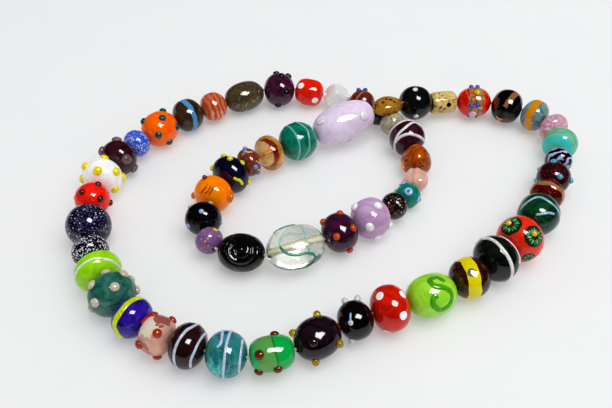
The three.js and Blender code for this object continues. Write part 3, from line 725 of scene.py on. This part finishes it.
# A row holds the slot, the two tones, how clear the glass is, its marks, and each set of
# canes: slot, tone, width, how much of that is sunk, and the places that each cane passes.
TRAILED = {
    "bottle_green_trails": ("green", "265c3e", "10301f", 0.35, (swirl("0c7c30", 2.6, 0.36),), [
        ("lilac", "a6c6e0", 1.0, 0.2, [
            [(0.82, -6), (0.7, 16), (0.52, 31), (0.33, 49)],
            [(0.54, -66), (0.26, -39), (-0.05, -15), (0.0, 10), (0.01, 28), (0.0, 60), (0.1, 110),
             (0.3, 160)]])]),
    "black_white_trails": ("black", "1a241e", "0a0f0c", 0, (), [
        ("white", "f4f2f2", 1.3, 0.2, [
            [(0.07, -63), (0.1, -23), (0.22, 10), (0.27, 41), (0.27, 67), (0.26, 92), (0.22, 140),
             (0.14, 190), (0.08, 240), (0.07, 297)],
            [(-0.7, -40), (-0.78, 10), (-0.79, 31), (-0.71, 54), (-0.54, 66), (-0.29, 70)]])]),
    "teal_foil_trails": ("teal", "46a8ac", "146c7c", 0.4, (
        stripes("5cb4a0", (1, 0.1, 0.1), 2.7, 0.2, 1.0, 0.3), swirl("1c74a4", 2.4, 0.34),
        specks("a4d8ac", 1.2, 0.2, 0.3, 0.3)), [
        ("lilac", "d0d6ee", 0.95, 0.2, [
            [(0.45, -110), (0.34, -54), (0.17, -9), (0.13, 8), (0.27, 20)],
            [(-0.07, -53), (-0.13, -13), (-0.15, 14), (-0.18, 41), (-0.17, 67), (-0.13, 96), (-0.1, 150),
             (-0.07, 200), (-0.06, 250), (-0.07, 307)],
            [(-0.72, -40), (-0.8, 0), (-0.83, 40), (-0.82, 80), (-0.78, 113)]])]),
    "brown_white_trails": ("brown", "3a1c20", "1a0e10", 0.1, (), [
        ("lilac", "ccd4e8", 1.0, 0.2, [
            [(-0.22, -35), (-0.01, -8), (0.13, 17), (0.21, 39), (0.24, 64), (0.15, 100),
             (0.05, 150), (-0.1, 205), (-0.2, 265), (-0.22, 325)],
            [(-0.74, -90), (-0.8, -30), (-0.79, 11), (-0.75, 42), (-0.66, 70), (-0.6, 111)]])]),
    "plum_white_trails": ("plum", "4e2030", "2c121c", 0.1, (), [
        ("white", "f6f4f6", 1.25, 0.2, [
            [(-0.62, -110), (-0.62, -79), (-0.5, -34), (-0.53, 10), (-0.45, 40)],
            [(0.01, 70), (-0.05, 48), (-0.15, 25), (0.15, -16), (0.23, -46), (0.33, -74),
             (0.37, -102), (0.42, -135)],
            [(0.35, -82), (0.4, -65), (0.47, -43), (0.61, -15), (0.75, 11), (0.8, 51), (0.69, 104)]])]),
    "emerald_pale_trails": ("green", "14a282", "086252", 0.3, (swirl("0a4a3e", 1.8, 0.3),), [
        ("lilac", "7cc4bc", 0.95, 0.3, [
            [(-0.4, 70), (-0.36, 29), (-0.36, -18), (-0.37, -51), (-0.44, -79), (-0.5, -105), (-0.5, -140)],
            [(0.2, 60), (0.25, 6), (0.37, -22), (0.24, -54), (0.09, -84), (-0.19, -108), (-0.3, -140)],
            [(0.8, 40), (0.78, -20), (0.75, -70), (0.78, -120)]])]),
    "clear_green_trails": ("clear", "eef0ea", "dfe4da", 0.97, (), [
        ("green", "3c927c", 0.9, 0.2, [
            [(0.64, 21), (0.53, 43), (0.25, 56), (-0.1, 58), (-0.3, 64), (-0.42, 76), (-0.36, 96),
             (-0.11, 110), (0.34, 104)],
            [(0.6, -62), (0.46, -55), (0.2, -50), (-0.19, -38)]]),
        ("lilac", "b4d8cc", 0.8, 0.3, [
            [(-0.2, 6), (0.19, -5), (0.5, -2), (0.64, 21)],
            [(-0.35, -30), (-0.33, -13), (-0.29, 24), (-0.26, 50), (-0.24, 69)]])]),
    "lime_swirl_oval": ("lime", "a6e048", "8ed02e", 0, (), [
        ("green", "58ac1c", 3.4, 0.42, [
            [(-0.33, 13), (-0.21, -10), (0.14, -8), (0.09, 11), (-0.26, 25), (-0.47, 46),
             (-0.32, 72), (0.07, 81), (0.36, 62), (0.32, 42), (0.08, 37)]])]),
    "violet_yellow_band": ("violet", "3a22a6", "1b0f6e", 0, (specks("8c80e0", 1.0, 0.13, 0.5, 0.6),), [
        ("lime", "dce60a", 3.2, 0.38, [
            [(0.1, -110), (0.3, -62), (0.32, -36), (0.29, -12), (0.2, 10), (0.12, 30), (0.08, 52),
             (0.0, 68), (-0.22, 84), (-0.32, 100), (-0.3, 130)]])]),
    "lime_white_ring": ("lime", "a8e424", "8ed00c", 0, (), [
        ("white", "f2f6f2", 0.95, 0.3, [
            [(-0.1, 49), (-0.14, 26), (-0.23, 1), (-0.44, -22), (-0.57, -47), (-0.64, -72), (-0.61, -88),
             (-0.5, -130), (-0.35, -180), (-0.2, -230), (-0.12, -275), (-0.1, -311)]])]),
}
for bead, (slot, light, deep, clear, marks, canes) in TRAILED.items():
    turned(bead, slot, light, deep, clear, marks)
    for k, (cane_slot, tint, width, sink, lines) in enumerate(canes):
        label = "trails" if k == 0 else "trails_2"
        trails(bead, label, cane_slot, tint, width, lines, sink)

# Some dotted beads also carry a short cane: a ridge on the rose bead, the tail of a drop on
# a black one, a streak on the navy one, and gold lines on two red ones.
SHORT_CANES = {
    "rose_orange_dots": ("orange", "c83c14", 1.8, 0.1,
        [[(0.86, 10), (0.84, -14), (0.74, -41), (0.55, -60)]]),
    "black_white_comma": ("lilac", "9cb2e4", 0.75, 0.2, [[(0.3, 6), (0.42, 18), (0.52, 32)]]),
    "navy_yellow_dots": ("lime", "e6e41c", 1.2, 0.2,
        [[(-0.7, -52), (-0.6, -64), (-0.46, -72), (-0.35, -92)]]),
    "red_gilded": ("amber", "b88850", 0.4, 0.1, [
        [(-0.58, 30), (-0.48, -15), (-0.3, -51)], [(-0.34, 30), (-0.3, -10), (-0.3, -51), (-0.5, -94)],
        [(0.43, 30), (0.5, -30), (0.5, -90)], [(0.7, 20), (0.55, -20), (0.62, -70)]]),
    "maroon_gold_small": ("amber", "f0c890", 0.55, 0.1, [
        [(-0.7, 10), (-0.2, -2), (0.3, -12)], [(0.1, -50), (0.45, -68), (0.75, -50)],
        [(0.0, -92), (0.5, -98)]]),
}
for bead, (slot, tint, width, sink, lines) in SHORT_CANES.items():
    trails(bead, "lines", slot, tint, width, lines, sink)

# The clear bead is wound on a core of cream glass, which shows through it along the bore.
CORE_SHORTER = 0.8
core_length = STRAND["clear_green_trails"][0] - CORE_SHORTER
lay_down = Matrix.Rotation(math.pi / 2, 4, "Y")
bm = bmesh.new()
bmesh.ops.create_cone(
    bm, cap_ends=True, segments=24, radius1=1.0, radius2=1.0, depth=core_length, matrix=lay_down
)
cream = glass("clear_green_trails_core", "clear_green_trails", "ece2cc", "dccfb2")
settled(bm, "clear_green_trails", "clear_green_trails_core", cream, 40)


# The banded beads: one glass wound over with a broad band or rings of another, or rolled in
# crushed glass, then melted smooth. A row holds the slot, the two tones, how clear the glass
# is, and the marks.
BANDED = {
    "black_copper_band": ("black", "120d0c", "050404", 0, (
        band("6e4230", [(-0.84, -7), (-0.58, -64), (-0.13, -95)], 1.2, 0.8, 0.3),
        band("c88a60", [(0.47, 35), (0.22, -15), (0.02, -42)], 1.0, 0.6, 0.5),
        spot("080605", -0.2, -82, 2.8))),
    "teal_orange_band": ("teal", "88a8a6", "4c6a68", 0.2, (
        swirl("88b4cc", 2.0, 0.4), band("ec980c", [(-0.16, 6), (-0.12, -50), (0.12, -117)], 1.45, 0.3))),
    "turquoise_layers": ("turquoise", "7cc0a0", "64aa8a", 0, (
        band("48c8bc", [(0.52, -69), (0.72, -20), (0.88, 29)], 2.0, 0.2),
        band("a8b898", [(0.13, -69), (0.33, -20), (0.5, 29)], 0.2, 0.2),
        ring("b8d8b8", -0.55, 0.3, 0.2), ring("d4c8a0", 0.96, 0.2, 0.2))),
    "brown_yellow_band": ("brown", "4a2010", "240c08", 0.15, (
        specks("b87044", 0.7, 0.15, 0.5, 0.4),
        band("f0e008", [(0.0, -16), (0.38, 39), (0.55, 93)], 2.0, 0.35),
        spot("a89c94", 0.29, 16, 1.3, 0.4), spot("5c5058", 0.33, 14, 0.5, 0.4))),
    "topaz_red_band": ("topaz", "f8d294", "e2aa5a", 0.7, (
        band("7c1812", [(0.01, -11), (0.03, -51), (-0.6, -120)], 1.15, 0.3),
        band("d8a030", [(0.45, -29), (0.37, -66), (-0.01, -92)], 0.6, 0.3),
        ring("84201a", 0.95, 1.1, 0.3))),
    "garnet_disc": ("maroon", "84121a", "3c0608", 0.2, (
        ring("cc9464", 0.25, 0.9, 0.4, 0.3), specks("d8a878", 0.9, 0.14, 0.3, 0.4))),
    "smoke_blue_band": ("smoke", "54442c", "241c16", 0.3, (
        band("64a8e0", [(-0.12, 16), (0.0, -40), (-0.07, -111)], 1.05, 0.3),)),
    "zebra_small": ("black", "0d0b0f", "050506", 0, (stripes("b4bce0", (1, 0.6, 0.5), 2.7, 0.3, 1.0),)),
    "copper_foil": ("orange", "e04c1c", "b83410", 0, (
        stripes("d8a27c", (1, 0.05, 0.1), 1.9, 0.42, 0.35, 0.4), swirl("f0d0a8", 1.4, 0.3, 0.4))),
    "red_white_dots": ("red", "d8260e", "b41608", 0, tuple(
        spot("f8f4f4", along, around, 1.35) for along, around in (
            (0.59, -12), (-0.58, 5), (-0.23, 60), (0.5, 127), (0.05, -70), (-0.5, -80), (0.45, -120)))),
    "red_white_spots": ("red", "ee280c", "d41c06", 0, tuple(
        spot("fdfbf8", along, around, 1.4) for along, around in (
            (-0.62, -30), (0.57, -89), (-0.6, -140), (0.4, 60), (-0.5, 90)))),
    "midnight_glitter": ("navy", "1e1c3e", "0b0b18", 0, (
        specks("a8a0d4", 0.5, 0.13, 0.7, 0.5), specks("f8f8ff", 0.95, 0.21, 0.5, 0.2))),
    "smoke_oval": ("smoke", "6e5e44", "30281e", 0.35, (
        swirl("9c8054", 5.0, 0.42, 0.5), swirl("5a8082", 2.4, 0.34, 0.35), swirl("2a241c", 3.2, 0.3, 0.3),
        specks("b8c4c0", 0.8, 0.14, 0.3))),
    "black_speckled": ("black", "1a162c", "0a0812", 0, (
        specks("f0eef4", 0.62, 0.24, 0.75), specks("a898cc", 0.8, 0.2, 0.5))),
    "blue_speckled": ("violet", "5470dc", "3050c4", 0, (specks("ccd8f8", 0.72, 0.27, 0.7),)),
    "dark_confetti": ("black", "201a1c", "0c0a0c", 0, (
        specks("8a4c24", 1.0, 0.34, 0.6, 0.3), specks("9cc0dc", 1.3, 0.3, 0.5),
        specks("e4e8e4", 1.7, 0.3, 0.4))),
    "mauve_confetti": ("mauve", "9a74a2", "7e5a88", 0.15, (
        specks("c03c20", 1.5, 0.5, 0.3), specks("4c6cd0", 1.7, 0.42, 0.25),
        specks("f4e8c0", 1.3, 0.25, 0.35), spot("ece418", -0.03, -34, 0.8))),
    "mottled_lentil": ("amber", "bc8e28", "8c5e16", 0.1, (
        specks("541414", 1.5, 0.55, 0.65), specks("8a4a10", 1.1, 0.26, 0.5),
        specks("ece0a0", 1.4, 0.2, 0.3))),
    "mottled_clear": ("clear", "dcd2b8", "b6a68a", 0.35, (
        specks("5c3c1c", 0.9, 0.24, 0.6), specks("f2ecdc", 1.1, 0.2, 0.4))),
    "ivory_tube": ("white", "e2ca8a", "c8a862", 0, (
        swirl("9a7434", 2.4, 0.42), ring("2c4a30", -0.98, 0.3, 0.1), ring("2c4a30", 0.98, 0.25, 0.1),
        spot("8a5a24", -0.43, -81, 0.8), spot("5c4a38", -0.1, -88, 0.5), spot("100e0c", 0.2, -69, 1.0))),
    "pink_swirl": ("rose", "f4d0dc", "e090b0", 0.35,
        (swirl("c43478", 3.0, 0.46), swirl("fcf8f6", 3.0, 0.42))),
    "black_round": ("black", "141414", "080808", 0, (swirl("2a2a2e", 2.4, 0.4),)),
}
for bead, row in BANDED.items():
    turned(bead, *row)


# The pressed and carved beads: while the glass is soft it is squeezed, ribbed or combed,
# which leaves facets, ribs or a scroll of grooves on the bead.
def ribbed(count, depth):
    """Ribs pressed along the bead."""
    def carve(co):
        out = math.hypot(co.y, co.z)
        swell = 1 + depth * (math.cos(count * math.atan2(co.y, co.z)) - 1) / out
        return Vector((co.x, co.y * swell, co.z * swell))
    return carve


def lumpy(depth, size):
    """Uneven glass: pressed in here and there, never out past the turned form."""
    def carve(co):
        return co * (1 - depth * (0.5 + 0.5 * noise.noise(co / size)) / co.length)
    return carve


def pressed(*faces, press=0.85):
    """Faces pressed nearly flat: each is a way out, how far out it lies, and all one press."""
    def carve(co):
        for way, reach in faces:
            out = Vector(way).normalized()
            co = co - out * max(0, co.dot(out) - reach) * press
        return co
    return carve


def scroll(bead, place, spacing, depth, reach=6.5, pits=0.25, pit_size=1.6):
    """A scroll of grooves combed round one place on the bead, which fades at its reach."""
    middle, out = surface(bead, *place)
    side = out.orthogonal().normalized()
    up = out.cross(side)

    def carve(co):
        away = co - middle
        turn = math.atan2(away.dot(up), away.dot(side)) / (2 * math.pi)
        groove = 0.5 - 0.5 * math.cos(2 * math.pi * (away.length / spacing - turn))
        fade = max(0, 1 - (away.length / reach) ** 4)
        pitted = pits * max(0, noise.noise(co / pit_size))
        shrink = 1 - (depth * fade * groove ** 2 + pitted) / math.hypot(co.y, co.z)
        return Vector((co.x, co.y * shrink, co.z * shrink))
    return carve


NUGGET_FACES = (
    ((0.8, -0.1, 0.6), 3.1), ((-0.75, -0.2, 0.65), 3.6), ((0.1, -0.9, 0.25), 3.9),
    ((0, 0.9, 0.3), 3.8),
)
turned(
    "amber_nugget", "amber", "dc7010", "944408", 0.4, (swirl("4c1c06", 3.0, 0.38),),
    carve=ribbed(3, 0.45), sides=60,
)
turned("pale_pink_ribbed", "rose", "fcd6c6", "ecb4a2", 0.35, carve=ribbed(8, 0.25), sides=64)
turned("frosted_nugget", "clear", "ffffff", "f6f5f0", 0.3, frosted=0.12, carve=pressed(*NUGGET_FACES))
turned(
    "black_shell", "black", "121214", "070708",
    carve=scroll("black_shell", (-0.07, 30), 2.0, 0.6), sides=128, steps=96,
)
turned("orange_ridged", "orange", "ff9004", "ff7a00", carve=lumpy(0.5, 6.0))
dots("orange_ridged", "dots", "orange", "fa820a", 2.6, PROUD, [(0.12, -84), (-0.4, 100)])
dots("orange_ridged", "dots_2", "brown", "6a2c0c", 1.7, PROUD, [(0.1, 24)])
trails("orange_ridged", "ring", "orange", "f88008", 0.7, [
    [(0.38, -71), (0.46, -92), (0.3, -105), (-0.05, -98), (-0.16, -78), (0.05, -67), (0.38, -71)]], 0.1)
trails("orange_ridged", "strokes", "brown", "a8520a", 0.38, [
    [(-0.8, 20), (-0.6, 5), (-0.31, 2)], [(-0.8, 0), (-0.64, -9), (-0.34, -11)],
    [(-0.78, -18), (-0.57, -20), (-0.29, -20)]], 0.3)


# The table: a plain pale light table, an opal sheet lit faintly from below, which keeps
# the shadows soft and short.
bm = bmesh.new()
bmesh.ops.create_grid(bm, x_segments=1, y_segments=1, size=2.5)
ground = bpy.data.meshes.new("floor")
bm.to_mesh(ground)
bm.free()
board, tree, shader = new_material("floor")
coords = wire(tree, "ShaderNodeTexCoord").outputs["Object"]
grain = clouds(tree, coords, 40.0, 3.0)
tree.links.new(mixed(tree, grain, shade("c5c6c7"), shade("cbcbcb")), shader.inputs["Base Color"])
shader.inputs["Roughness"].default_value = 0.75
shader.inputs["Specular IOR Level"].default_value = 0.2
shader.inputs["Emission Color"].default_value = (1, 1, 1, 1)
shader.inputs["Emission Strength"].default_value = 0.225
ground.materials.append(board)
floor = placed("floor", ground)

# The camera: in front of the table and 45 degrees above it, as in the photo, with its
# distance in mm and its focal length in the pixels of a photo of that width.
CAMERA_AWAY = 252
CAMERA_RISE = math.radians(45)
FOCAL_PIXELS = 700
PHOTO_PIXELS = 612
lens = bpy.data.cameras.new("camera")
lens.sensor_width = 36
lens.lens = lens.sensor_width * FOCAL_PIXELS / PHOTO_PIXELS
lens.clip_start = 0.01
camera = placed("camera", lens)
camera.location = TO_TABLE @ (CAMERA_AWAY * Vector((0, -math.cos(CAMERA_RISE), math.sin(CAMERA_RISE))))
camera.rotation_euler = (math.pi / 2 - CAMERA_RISE, 0, 0)
bpy.context.scene.camera = camera

# The light: a broad soft lamp overhead, to the right, and pale walls that fill the shadows.
# The glass mirrors only a small bright window, so its blacks stay deep.
def area_lamp(name, shape, size, energy, location):
    """A lamp that faces the middle of the table."""
    light = bpy.data.lights.new(name, "AREA")
    light.shape = shape
    light.size = size
    light.energy = energy
    lamp = placed(name, light)
    lamp.location = location
    lamp.rotation_euler = (-lamp.location).to_track_quat("-Z", "Y").to_euler()
    return lamp


window = area_lamp("window", "RECTANGLE", 0.33, 8.5, Vector((0.28, -0.28, 0.91)) * 0.9)
window.data.size_y = 0.46
window.rotation_euler.rotate_axis("Z", math.radians(28))
window.visible_diffuse = False
broad = area_lamp("broad", "DISK", 1.2, 6.3, (0.32, -0.1, 1.0))
broad.visible_glossy = False
room =bpy.data.worlds.new("room")
room.use_nodes = True
walls = room.node_tree.nodes["Background"]
walls.inputs["Color"].default_value = (0.97, 0.985, 1.0, 1)
walls.inputs["Strength"].default_value = 0.5
room.cycles_visibility.glossy = False
bpy.context.scene.world = room
bpy.context.scene.view_settings.view_transform = "Standard"
bpy.context.scene.view_settings.look = "Medium High Contrast"
